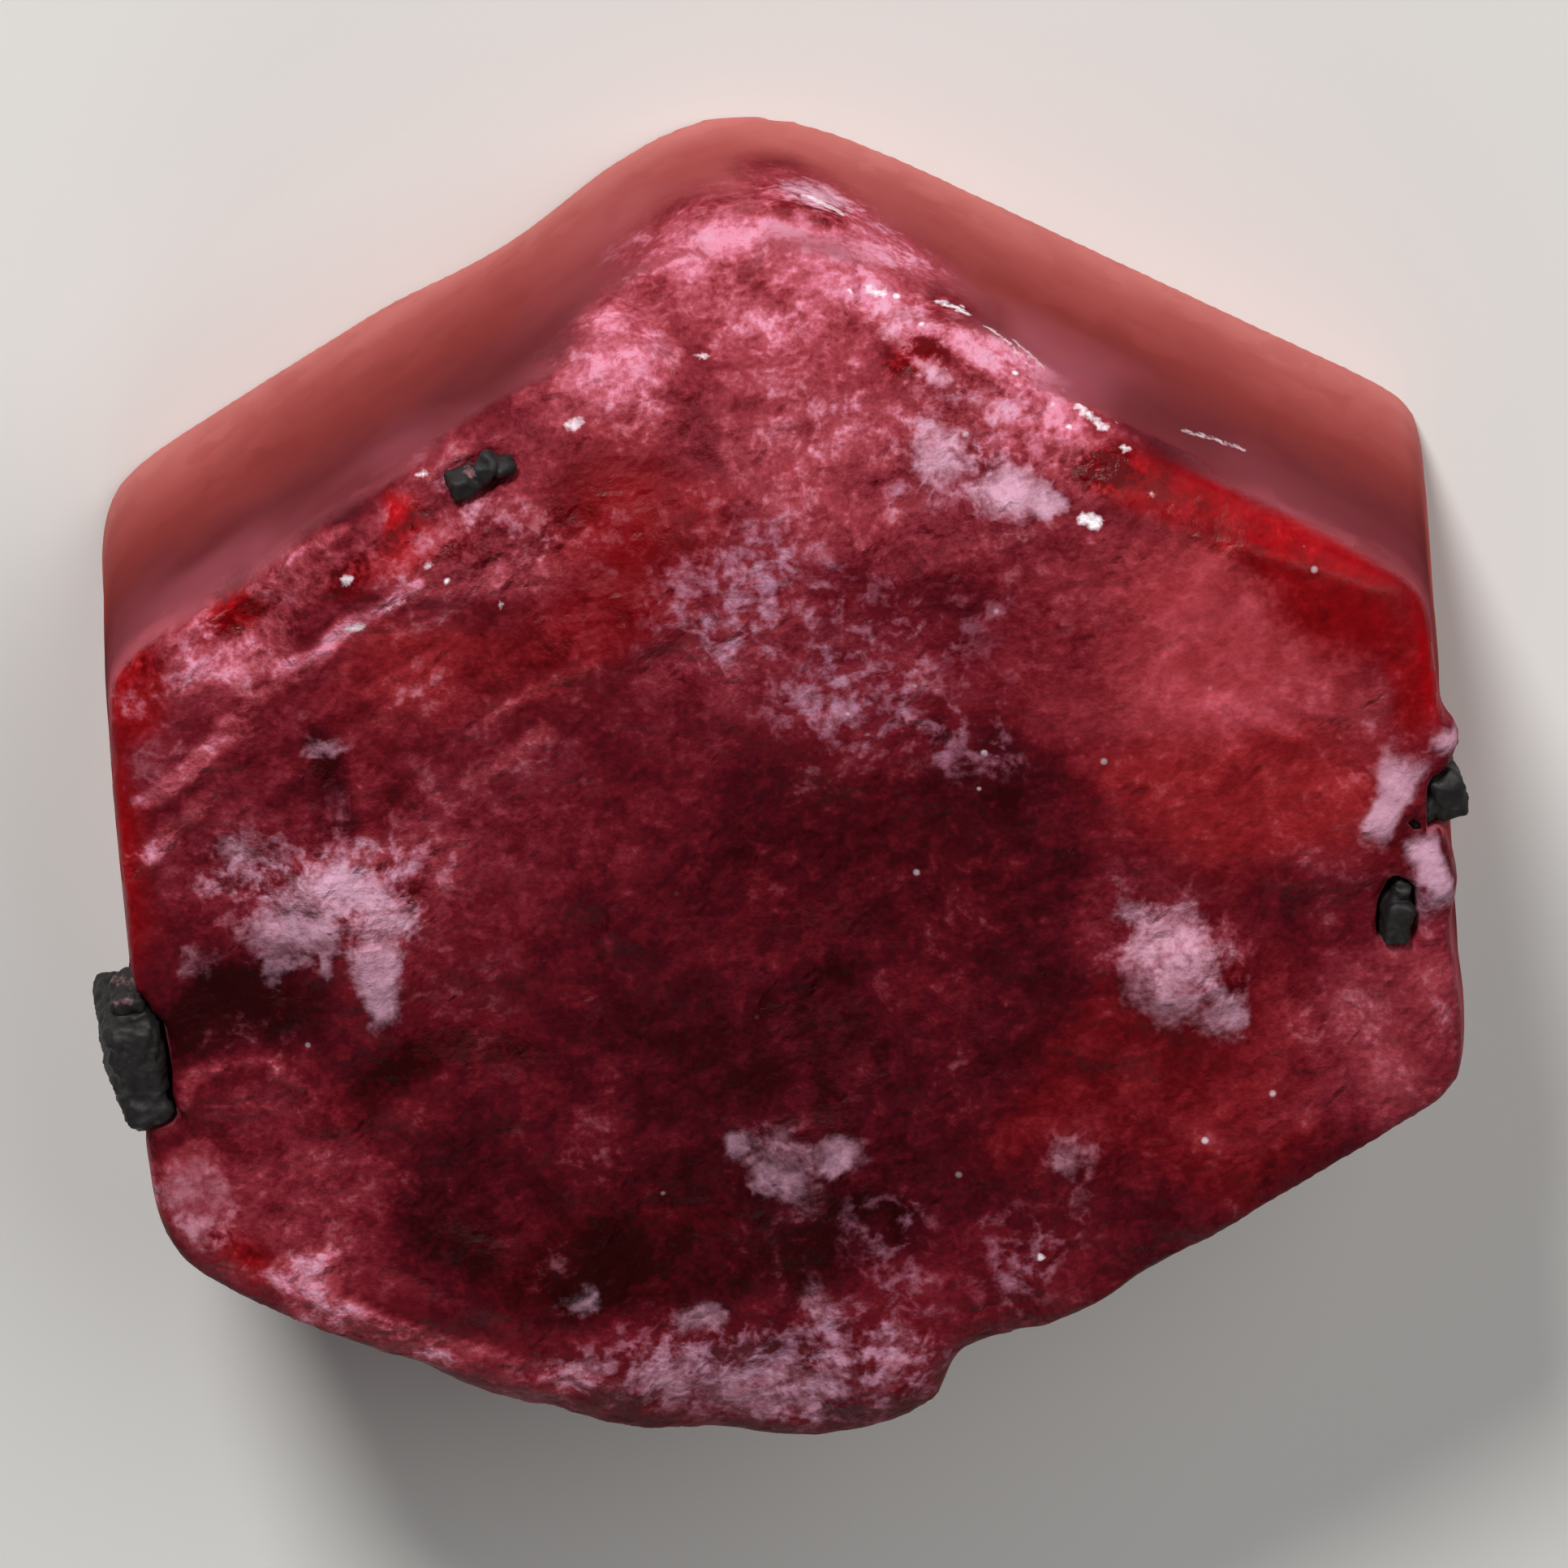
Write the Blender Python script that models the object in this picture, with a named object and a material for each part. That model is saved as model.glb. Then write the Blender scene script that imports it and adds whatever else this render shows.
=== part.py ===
"""A stubby six-sided crystal of red beryl, lying on one of its two ends, with black grains grown into its rim.

The prism's axis is +Z. The crystal lies on its flat base at z = 0, and the rough, pitted cap is on top. The prism
faces meet at the 120 degrees that beryl always has, each at its own distance from the axis, and they flare a little
towards the base. The origin is the middle of the base.
"""

import math

import bmesh
import bpy
from mathutils import Euler, Matrix, Vector, noise

MM = 0.001

# Driving dimensions, in millimetres.
HEIGHT = 3.97  # base to cap
EDGE_SHARPNESS = 44  # the higher, the tighter the worn edges and corners
SECTOR_STEPS = 24  # triangles along one side of the hexagonal cap
WALL_ROWS = 12  # rows of faces down the prism faces
BASE_RINGS = (0.97, 0.93, 0.87)  # shares of the outline, round the flat base
PLATE_SIZE = 0.75  # broken plates of the cap, across
POCKET_GAP = 0.05  # free space between a black grain and its pocket

# Each face: azimuth and elevation of its normal in degrees, distance from the crystal's middle, roughness.
FACES = {
    "prism_right": (1.5, 2.3, 4.87, 0.015),
    "prism_upper_right": (60, 0, 4.33, 0.006),
    "prism_upper_left": (120, 0, 4.33, 0.006),
    "prism_left": (180, 3.0, 4.87, 0.020),
    "prism_lower_left": (241, 0, 4.45, 0.060),
    "prism_lower_right": (300, 0, 3.90, 0.025),
    "cap": (0, 90, HEIGHT / 2 + 0.02, 0.070),
    "cap_upper_slope": (86, 64, 3.02, 0.090),
    "cap_lower_slope": (268, 76, 2.68, 0.090),
    "broken_upper_corner": (85, 29, 4.16, 0.100),
    "worn_back_corner": (84, -2, 4.80, 0.010),
    "broken_bottom_corner": (264, 5, 4.46, 0.070),
    "chipped_left_corner": (209, 0, 5.22, 0.050),
    "worn_left_corner": (150, 0, 5.32, 0.020),
    "underside": (0, -90, HEIGHT / 2 + 0.05, 0.0),
}

# Lumps (height above 0) and pits (below 0): middle, radius, height.
LUMPS = {
    "corner_knob": ((0.45, 4.80, 2.30), 0.70, 0.12),
    "corner_left_ledge": ((-0.90, 4.20, 3.20), 0.70, 0.10),
    "corner_right_ledge": ((1.50, 4.00, 3.00), 0.80, 0.12),
    "white_cluster_upper": ((1.75, 3.15, 3.90), 0.50, 0.14),
    "white_cluster_left": ((-3.15, 0.25, 3.97), 0.80, 0.12),
    "white_blade_left": ((-2.95, -0.35, 3.97), 0.40, 0.10),
    "white_cluster_right": ((2.85, -0.65, 3.97), 0.60, 0.11),
    "white_chip_low": ((0.05, -1.90, 3.97), 0.50, 0.13),
    "white_chip_low_right": ((1.95, -2.05, 3.90), 0.40, 0.10),
    "crust_bottom_left": ((-1.40, -3.70, 3.60), 0.80, 0.13),
    "crust_bottom_right": ((0.50, -3.80, 3.50), 0.70, 0.14),
    "white_chip_rim_right": ((4.35, 0.65, 3.90), 0.40, 0.10),
    "white_bead_rim_right": ((4.85, 1.02, 3.80), 0.34, 0.14),
    "white_chip_rim_right_low": ((4.65, -0.05, 3.80), 0.40, 0.10),
    "rim_ledge_left": ((-3.00, 3.10, 3.80), 0.60, 0.09),
    "corner_lump_lower_left": ((-4.20, -2.10, 3.70), 0.70, 0.09),
    "corner_lump_lower_right": ((4.50, -1.20, 3.50), 0.80, 0.07),
    "rim_pit_left": ((-3.80, 2.55, 3.90), 0.50, -0.18),
    "rim_pit_left_upper": ((-2.35, 3.15, 3.90), 0.45, -0.12),
    "pit_beside_blade": ((-2.15, -0.70, 3.97), 0.60, -0.13),
    "pit_upper_left": ((-1.30, 2.75, 3.97), 0.70, -0.13),
    "pit_upper_right": ((2.90, 2.60, 3.97), 0.70, -0.08),
    "hollow_middle": ((0.40, 0.10, 3.97), 1.70, -0.13),
    "hollow_low": ((-0.90, -2.70, 3.90), 0.80, -0.12),
    "notch_bottom_right": ((1.35, -3.80, 3.60), 0.60, -0.24),
    "dent_upper_left_base": ((-1.80, 3.85, 0.00), 1.10, -0.09),
}

# Black grains: middle of each, then its blocks as offset, size and turn in degrees.
GRAINS = {
    "black_grain_left": (
        (-4.82, -0.88, 3.56),
        (
            ((0.00, 0.10, 0.00), (0.38, 0.62, 0.86), (10, 8, 6)),
            ((0.03, -0.30, 0.02), (0.32, 0.48, 0.74), (-10, 10, 16)),
            ((0.04, 0.44, 0.12), (0.24, 0.28, 0.36), (24, -8, 18)),
        ),
    ),
    "black_grain_right_upper": (
        (4.72, 0.62, 3.66),
        (
            ((0.06, 0.01, 0.00), (0.23, 0.34, 0.46), (14, 8, 12)),
            ((-0.10, -0.14, 0.06), (0.30, 0.16, 0.34), (-12, 14, 32)),
        ),
    ),
    "black_grain_right_lower": (
        (4.39, -0.28, 3.86),
        (
            ((0.00, -0.02, 0.00), (0.18, 0.30, 0.32), (8, 10, -8)),
            ((0.03, 0.17, -0.02), (0.11, 0.20, 0.24), (20, 6, -16)),
        ),
    ),
    "black_grain_rim": (
        (-1.98, 3.52, 3.74),
        (
            ((-0.12, -0.07, 0.00), (0.21, 0.14, 0.22), (12, 22, 4)),
            ((0.05, 0.03, 0.00), (0.19, 0.13, 0.20), (-16, 12, 52)),
            ((0.17, 0.03, -0.01), (0.12, 0.14, 0.16), (20, 8, 74)),
        ),
    ),
}
GRAIN_CHAMFER = 0.16  # share of a block's shortest side

# A crumb of beryl on the rim, above the upper right grain.
RIM_BEAD = (4.82, 0.98, 3.72)
RIM_BEAD_RADIUS = 0.09

BERYL_RED = (0.22, 0.010, 0.016, 1.0)
GRAIN_BLACK = (0.012, 0.012, 0.013, 1.0)

MIDDLE = Vector((0, 0, HEIGHT / 2))


def material(name, colour, roughness, metallic):
    made = bpy.data.materials.new(name)
    made.use_nodes = True
    shader = made.node_tree.nodes["Principled BSDF"]
    shader.inputs["Base Color"].default_value = colour
    shader.inputs["Roughness"].default_value = roughness
    shader.inputs["Metallic"].default_value = metallic
    return made


def new_object(name, shape, look):
    """Turns a bmesh in millimetres into a named object in metres."""
    mesh = bpy.data.meshes.new(name)
    bmesh.ops.scale(shape, vec=(MM, MM, MM), verts=shape.verts)
    shape.to_mesh(mesh)
    shape.free()
    mesh.materials.append(look)
    made = bpy.data.objects.new(name, mesh)
    bpy.context.scene.collection.objects.link(made)
    return made


def face_normal(azimuth, elevation):
    turn, rise = math.radians(azimuth), math.radians(elevation)
    return Vector((math.cos(turn) * math.cos(rise), math.sin(turn) * math.cos(rise), math.sin(rise)))


PLANES = [(face_normal(turn, rise), away, rough) for turn, rise, away, rough in FACES.values()]


def worn_surface(direction):
    """Where a line from the crystal's middle meets the worn faces: the point, the outward normal and the roughness.

    Each face's share is blended with a high power, in place of taking the nearest face, which rounds the edges.
    """
    shares = [max(normal.dot(direction), 0.0) / away for normal, away, _ in PLANES]
    nearest = max(shares)
    weights = [(share / nearest) ** EDGE_SHARPNESS for share in shares]
    total = sum(weights)
    outward, roughness = Vector(), 0.0
    for weight, (normal, _, rough) in zip(weights, PLANES):
        outward += normal * weight
        roughness += rough * weight / total
    reach = total ** (-1 / EDGE_SHARPNESS) / nearest
    return MIDDLE + direction * reach, outward.normalized(), roughness


def relief(point, roughness):
    """Height of the broken, pitted surface above the worn one."""
    waves = noise.fractal(point * 0.5, 1.0, 2.0, 3)
    plate_middle = noise.voronoi(point / PLATE_SIZE)[1][0]
    plates = noise.noise(plate_middle * 7.3)
    height = roughness * (0.9 * waves + 1.2 * plates)
    for centre, radius, lift in LUMPS.values():
        near = (point - Vector(centre)).length / radius
        if near < 1:
            height += lift * (1 - near * near) ** 2
    return height


def surface_point(sharp_point):
    """Carries a point of the plain prism to the finished surface. Points of the base's outline stay on the base."""
    point, outward, roughness = worn_surface((sharp_point - MIDDLE).normalized())
    point += outward * relief(point, roughness)
    if sharp_point.z <= 0:
        point.z = 0
    return point


def prism_corners():
    """The six corners of the sharp prism, seen along its axis."""
    sides = [FACES[name] for name in FACES if name.startswith("prism")]
    corners = []
    for index, (turn, _, away, _) in enumerate(sides):
        next_turn, _, next_away, _ = sides[(index + 1) % len(sides)]
        a, b = math.radians(turn), math.radians(next_turn)
        spread = math.sin(b - a)
        x = (away * math.sin(b) - next_away * math.sin(a)) / spread
        y = (next_away * math.cos(a) - away * math.cos(b)) / spread
        corners.append(Vector((x, y)))
    return corners


def ring_points(corners, steps):
    """Points round the prism's outline, steps to a side."""
    points = []
    for index, corner in enumerate(corners):
        following = corners[(index + 1) % len(corners)]
        points += [corner.lerp(following, step / steps) for step in range(steps)]
    return points


def add_ring(shape, outline, share, height):
    return [shape.verts.new(surface_point(Vector((p.x * share, p.y * share, height)))) for p in outline]


def bridge(shape, outer, inner):
    """Joins two rings with the same number of points."""
    for index in range(len(outer)):
        after = (index + 1) % len(outer)
        shape.faces.new((outer[index], outer[after], inner[after], inner[index]))


def fill_cap(shape, corners, rim):
    """Fills the cap with six fans of even triangles, from the rim in to the middle."""
    outer = rim
    for level in range(SECTOR_STEPS - 1, 0, -1):
        inner = add_ring(shape, ring_points(corners, level), level / SECTOR_STEPS, HEIGHT)
        for sector in range(len(corners)):
            for step in range(level + 1):
                a = outer[(sector * (level + 1) + step) % len(outer)]
                b = outer[(sector * (level + 1) + step + 1) % len(outer)]
                c = inner[(sector * level + step) % len(inner)]
                shape.faces.new((a, b, c))
                if step < level:
                    d = inner[(sector * level + step + 1) % len(inner)]
                    shape.faces.new((b, d, c))
        outer = inner
    middle = shape.verts.new(surface_point(Vector((0, 0, HEIGHT))))
    for index in range(len(outer)):
        shape.faces.new((outer[index], outer[(index + 1) % len(outer)], middle))


def fill_base(shape, foot):
    """Fills the flat base with rings in from the foot of the prism faces, and one face in the middle."""
    outer = foot
    for share in BASE_RINGS:
        inner = [shape.verts.new((v.co.x * share, v.co.y * share, 0)) for v in foot]
        bridge(shape, inner, outer)
        outer = inner
    shape.faces.new(reversed(outer))


def beryl_crystal(look):
    shape = bmesh.new()
    corners = prism_corners()
    outline = ring_points(corners, SECTOR_STEPS)
    rim = add_ring(shape, outline, 1.0, HEIGHT)
    fill_cap(shape, corners, rim)
    upper = rim
    for row in range(1, WALL_ROWS + 1):
        height = HEIGHT * (1 + math.cos(math.pi * row / WALL_ROWS)) / 2
        lower = add_ring(shape, outline, 1.0, height)
        bridge(shape, lower, upper)
        upper = lower
    fill_base(shape, upper)
    bmesh.ops.recalc_face_normals(shape, faces=shape.faces)
    bmesh.ops.triangulate(shape, faces=shape.faces)
    return new_object("beryl_crystal", shape, look)


def grain_block(middle, block, grow=0.0):
    """One chamfered block of a grain, grown by the given amount on every side."""
    offset, size, turn = block
    shape = bmesh.new()
    bmesh.ops.create_cube(shape, size=1.0)
    bmesh.ops.scale(shape, vec=[side + 2 * grow for side in size], verts=shape.verts)
    bmesh.ops.bevel(shape, geom=shape.edges, offset=GRAIN_CHAMFER * min(size), segments=1, affect="EDGES")
    angles = [math.radians(angle) for angle in turn]
    place = Matrix.Translation(Vector(middle) + Vector(offset)) @ Euler(angles).to_matrix().to_4x4()
    bmesh.ops.transform(shape, matrix=place, verts=shape.verts)
    return shape


def cutter(name, shape, look):
    made = new_object(name, shape, look)
    made.hide_render = True
    made.display_type = "WIRE"
    return made


def add_boolean(target, tool, operation):
    modifier = target.modifiers.new(tool.name, "BOOLEAN")
    modifier.operation = operation
    modifier.object = tool


def black_grain(crystal, name, middle, blocks, look):
    """A grain of a few blocks, sunk in a pocket of the crystal that is a little larger all round."""
    grain = new_object(name, grain_block(middle, blocks[0]), look)
    for block in blocks[1:]:
        add_boolean(grain, cutter(name + "_block", grain_block(middle, block), look), "UNION")
    for block in blocks:
        add_boolean(crystal, cutter(name + "_pocket", grain_block(middle, block, POCKET_GAP), look), "DIFFERENCE")


def rim_bead(crystal, look):
    """A round crumb that stands out of the crystal's edge."""
    shape = bmesh.new()
    place = Matrix.Translation(Vector(RIM_BEAD))
    bmesh.ops.create_icosphere(shape, subdivisions=2, radius=RIM_BEAD_RADIUS, matrix=place)
    add_boolean(crystal, cutter("rim_bead", shape, look), "UNION")


def centre_on_base():
    """Moves everything so that the origin is in the middle of the bounding box, seen from above."""
    depsgraph = bpy.context.evaluated_depsgraph_get()
    solids = [made.evaluated_get(depsgraph) for made in bpy.data.objects if not made.hide_render]
    xs = [corner[0] for solid in solids for corner in solid.bound_box]
    ys = [corner[1] for solid in solids for corner in solid.bound_box]
    shift = Vector(((min(xs) + max(xs)) / 2, (min(ys) + max(ys)) / 2, 0))
    for made in bpy.data.objects:
        made.location -= shift


def clear_scene():
    for old in list(bpy.data.objects):
        bpy.data.objects.remove(old)


def main():
    clear_scene()
    red_beryl = material("red_beryl", BERYL_RED, 0.25, 0.0)
    black_oxide = material("black_oxide", GRAIN_BLACK, 0.35, 0.6)
    crystal = beryl_crystal(red_beryl)
    rim_bead(crystal, red_beryl)
    for name, (middle, blocks) in GRAINS.items():
        black_grain(crystal, name, middle, blocks, black_oxide)
    centre_on_base()


main()
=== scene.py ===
import math

import bpy
import numpy as np
from mathutils import Matrix, Vector, noise


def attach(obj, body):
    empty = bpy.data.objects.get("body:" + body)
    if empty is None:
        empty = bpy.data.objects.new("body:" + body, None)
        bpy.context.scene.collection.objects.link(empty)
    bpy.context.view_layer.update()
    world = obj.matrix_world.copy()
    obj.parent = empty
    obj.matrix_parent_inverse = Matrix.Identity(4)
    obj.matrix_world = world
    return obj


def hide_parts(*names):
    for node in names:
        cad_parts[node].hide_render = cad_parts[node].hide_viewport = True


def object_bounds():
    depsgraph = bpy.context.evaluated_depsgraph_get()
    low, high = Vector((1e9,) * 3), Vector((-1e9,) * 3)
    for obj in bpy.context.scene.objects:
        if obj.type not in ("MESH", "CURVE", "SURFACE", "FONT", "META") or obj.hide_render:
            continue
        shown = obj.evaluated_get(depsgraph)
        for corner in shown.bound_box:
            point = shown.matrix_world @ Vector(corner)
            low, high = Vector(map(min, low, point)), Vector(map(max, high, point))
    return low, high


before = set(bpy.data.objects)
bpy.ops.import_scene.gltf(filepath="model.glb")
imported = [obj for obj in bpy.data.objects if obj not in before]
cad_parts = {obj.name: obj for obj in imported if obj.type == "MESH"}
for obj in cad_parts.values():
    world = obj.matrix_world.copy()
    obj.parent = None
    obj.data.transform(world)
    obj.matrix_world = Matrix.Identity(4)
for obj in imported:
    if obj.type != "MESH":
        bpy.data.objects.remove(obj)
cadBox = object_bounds()
mm = 0.001  # the model is in metres, and every size below is in millimetres
noise.seed_set(3)  # otherwise noise_vector starts from the clock, and each run differs
print("frame loaded")


def hexToLinear(hexColour):  # sRGB hex to the linear colour that a shader wants
    parts = [int(hexColour[i:i + 2], 16) / 255 for i in (0, 2, 4)]
    return [p / 12.92 if p <= 0.04045 else ((p + 0.055) / 1.055) ** 2.4 for p in parts] + [1.0]


# inputs gives each socket a value, an output, or a node, which stands for its first open output
def addNode(tree, kind, inputs=None, **settings):
    node = tree.nodes.new(kind)
    for name, value in settings.items():
        setattr(node, name, value)
    for socket, value in (inputs or {}).items():
        if isinstance(value, bpy.types.Node):
            value = next(output for output in value.outputs if output.enabled)
        if isinstance(value, bpy.types.NodeSocket):
            tree.links.new(value, node.inputs[socket])
        else:
            node.inputs[socket].default_value = value
    return node


def newMaterial(name):  # a material with only its output, and the output node
    made = bpy.data.materials.new(name)
    made.use_nodes = True
    made.node_tree.nodes.clear()
    output = addNode(made.node_tree, "ShaderNodeOutputMaterial")
    return made, made.node_tree, output


crystalShape = {
    "voxel": 0.055,  # size of the fine mesh's faces
    "smoothing": 3,
    "lumps": {"size": 0.80, "height": 0.05},
    "plates": {"size": 0.45, "height": 0.03},
    "grit": {"size": 0.15, "height": 0.018},
    "crust": {"size": 0.18, "height": 0.08},
    "wallWaves": {"size": 1.60, "height": 0.03},
    "bead": 0.035,  # swelling of the round crumb on the rim
    "crumb": 0.17,  # size of the angular crumbs that the white places break into
    "bloom": 0.90,  # size of the soft billows in its colour
    "facet": 0.15,  # size of the small faces in its broken skin
    "facetLean": 0.2,  # steepest slope of those faces
    "cell": 0.24,  # size of the grains that its broken skin shows
    "footEdge": (0.1, 0.6),  # heights between which the roughness starts, so that the base stays flat
    "capTilt": (0.15, 0.45),  # upward part of the normal, from prism face to broken cap
    "levelTilt": (0.88, 0.97),  # the same, from sloping to level
    "ledgeRise": (3.2, 3.6),  # heights between which the ledges start
    "smoothed": 0.7,  # share of the roughness that the smooth places lose
    # noise that turns round places ragged: its size, and how far it reaches
    "raggedFine": (0.35, 0.10),
    "raggedMiddle": (0.40, 0.16),
    "raggedWide": (1.10, 0.55),
}

# all places below: middle x, y, z, half width, half height, turn in degrees, strength
# milky white crusts, made of small angular crumbs, and one painted highlight on the apex
whitePlaces = {
    "leftClusterBody": (-3.27, 0.27, 3.95, 0.64, 0.37, 20, 1.15),
    "leftClusterKnob": (-2.81, 0.18, 3.95, 0.27, 0.23, 0, 1.1),
    "leftFan": (-3.75, 0.56, 3.95, 0.40, 0.30, 0, 0.7),
    "rightCluster": (2.87, -0.64, 3.95, 0.42, 0.47, 0, 0.9),
    "rightClusterTail": (2.62, -0.24, 3.95, 0.27, 0.17, -35, 0.8),
    "rightClusterFoot": (3.18, -0.99, 3.95, 0.18, 0.27, 0, 1.0),
    "lowChip": (-0.10, -2.05, 3.95, 0.36, 0.30, -10, 0.66),
    "lowChipEnd": (0.32, -1.95, 3.95, 0.18, 0.18, 0, 0.75),
    "lowRightChip": (2.00, -2.10, 3.90, 0.23, 0.20, 0, 0.65),
    "lowRightTail": (2.10, -2.44, 3.85, 0.09, 0.25, 0, 0.4),
    "crustLeft": (-1.65, -3.64, 3.65, 0.43, 0.23, 0, 0.62),
    "crustMiddle": (-1.06, -3.65, 3.65, 0.46, 0.33, 0, 0.62),
    "crustRight": (-0.09, -3.98, 3.55, 0.67, 0.28, 0, 0.64),
    "crustUpper": (0.56, -3.56, 3.65, 0.37, 0.25, 0, 0.78),
    "crustSpeckLeft": (-1.60, -3.05, 3.85, 0.16, 0.12, 0, 0.7),
    "crustSpeckMiddle": (-0.80, -3.27, 3.80, 0.26, 0.17, 0, 0.7),
    "crustSpeckRight": (0.10, -3.17, 3.80, 0.18, 0.27, 0, 0.5),
    "rimSeat": (4.60, -0.20, 3.85, 0.12, 0.20, 0, 0.8),
    "rimBead": (4.86, 0.98, 3.75, 0.10, 0.10, 0, 1.3),
    "upperKnob": (1.81, 3.08, 3.85, 0.31, 0.24, 0, 1.1),
    "upperKnobSide": (2.09, 2.99, 3.85, 0.18, 0.13, 0, 1.0),
    "upperVeil": (1.35, 3.27, 3.56, 0.33, 0.27, 0, 0.8),
    # a painted highlight where the apex catches the light
    "apexPaintedHighlight": (0.54, 4.54, 1.65, 0.34, 0.16, -10, 0.9),
    "crustBed": (-0.45, -3.80, 3.60, 1.30, 0.38, -3, 0.5),
    "lowChipTop": (-0.42, -1.85, 3.95, 0.15, 0.14, 0, 0.7),
    "brokenRight": (1.62, 3.72, 3.20, 0.75, 0.30, -32, 0.55),
}

# single pale blades and wedges with straight edges
bladePlaces = {
    "leftBlade": (-2.93, -0.34, 3.95, 0.18, 0.40, 8, 1.0),
    "leftKnuckle": (-2.86, 0.10, 3.95, 0.28, 0.16, 12, 0.95),
    "leftFinger": (-3.62, -0.18, 3.95, 0.15, 0.22, -32, 0.7),
    "leftThumb": (-4.22, -0.16, 3.90, 0.18, 0.18, -12, 0.42),
    "rimBlade": (4.44, 0.58, 3.90, 0.15, 0.34, -24, 0.95),
    "pocketChip": (-3.16, 1.44, 4.00, 0.18, 0.10, -15, 0.5),
    "upperLeftPlate": (-1.75, 3.02, 3.90, 0.42, 0.22, -8, 0.42),
    "leftFingerSmall": (-3.30, -0.10, 3.95, 0.08, 0.22, -8, 0.7),
    "leftWedge": (-4.38, -2.05, 3.90, 0.32, 0.40, 28, 0.55),
    "footTooth": (-3.58, -2.82, 3.90, 0.13, 0.34, 4, 0.5),
    "edgeBand": (-3.05, -3.22, 3.85, 0.75, 0.16, -24, 0.42),
    "rimSeat": (4.71, 0.00, 3.85, 0.11, 0.33, 12, 1.1),
}

# places where fine inclusions cloud the crystal, from brown through rose to pink
cloudPlaces = {
    "brokenCorner": (0.25, 4.45, 2.50, 1.60, 0.72, 0, 0.76),
    "brokenLeft": (-0.90, 3.95, 3.40, 0.90, 0.55, 25, 0.78),
    "brokenRight": (1.60, 3.75, 3.30, 1.10, 0.45, -30, 0.97),
    "upperMiddle": (0.69, 2.96, 3.95, 1.60, 0.80, 0, 0.38),
    "middle": (0.05, 2.10, 3.95, 1.20, 0.80, 0, 0.34),
    "middleLow": (0.90, 1.50, 3.95, 1.20, 0.50, 0, 0.22),
    "rosyRight": (3.10, 1.90, 3.95, 1.30, 0.90, -20, 0.66),
    "orangeRight": (3.43, 0.80, 4.00, 1.00, 0.80, 0, 0.38),
    "leftClusterVeil": (-3.20, 0.50, 3.95, 1.00, 0.65, 0, 0.6),
    "rightClusterVeil": (2.90, -0.60, 3.95, 0.60, 0.60, 0, 0.45),
    "leftSmudge": (-2.00, 0.60, 3.95, 1.00, 0.60, 0, 0.14),
    "leftMiddle": (-2.35, 1.90, 3.95, 1.20, 0.70, 25, 0.30),
    "leftEdge": (-4.00, 0.90, 3.90, 0.70, 1.10, 0, 0.18),
    "leftRim": (-3.40, 2.55, 3.90, 1.60, 0.35, 30, 0.56),
    "upperLeftPlate": (-1.80, 3.10, 3.90, 0.60, 0.40, 0, 0.58),
    "lowerLeft": (-3.73, -1.93, 3.85, 1.00, 1.00, 0, 0.27),
    "lowerEdge": (-0.90, -3.70, 3.60, 2.60, 0.55, 0, 0.16),
    "lowerRight": (1.60, -3.07, 3.75, 0.70, 0.60, 0, 0.10),
    "cornerRight": (4.51, -1.43, 3.60, 0.50, 0.90, 0, 0.46),
    "rightLow": (3.20, -1.60, 3.90, 1.30, 0.55, 15, 0.27),
    "brokenFoot": (0.45, 3.65, 3.40, 1.50, 0.60, 0, 0.44),
    "crustBed": (-0.50, -3.85, 3.70, 1.50, 0.40, -3, 0.08),
}

# pink wedges and bands with straight edges
wedgePlaces = {
    "leftWedge": (-4.40, -2.04, 3.90, 0.32, 0.42, 26, 0.47),
    "footTooth": (-3.58, -2.82, 3.90, 0.20, 0.36, 4, 0.62),
    "edgeBand": (-3.15, -3.18, 3.85, 0.80, 0.20, -27, 0.66),
    "edgeBandLow": (-2.10, -3.62, 3.75, 0.60, 0.14, -20, 0.4),
}

# places that stay clear and deep red
clearPlaces = {
    "rightBand": (3.75, 2.48, 3.91, 1.30, 0.22, -32, 1.0),
    "rightBandMiddle": (4.15, 2.15, 3.90, 0.65, 0.40, -38, 1.0),
    "rightBandEnd": (4.68, 1.55, 3.85, 0.26, 0.62, 0, 1.0),
    "leftRedUpper": (-4.58, 1.95, 3.95, 0.36, 0.42, 0, 0.8),
    "leftRedEdge": (-4.80, 0.74, 3.90, 0.32, 1.20, 0, 0.85),
    "leftPit": (-3.75, 2.50, 3.79, 0.30, 0.16, 25, 1.0),
    "rimPit": (-2.51, 3.14, 3.85, 0.18, 0.17, 0, 1.0),
    "rimReds": (-2.62, 2.88, 4.00, 0.55, 0.16, 25, 0.7),
    "upperLeftRed": (-0.97, 3.05, 3.90, 0.42, 0.52, 0, 0.55),
    "upperLeftRedLow": (-1.15, 2.35, 3.95, 0.60, 0.45, 0, 0.45),
    "pitRight": (2.65, 3.10, 3.80, 0.42, 0.20, -20, 1.0),
    "brokenRed": (1.22, 3.90, 3.23, 0.22, 0.16, 0, 0.7),
    "footRed": (-4.05, -2.50, 3.90, 0.20, 0.34, 35, 0.8),
}
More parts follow.
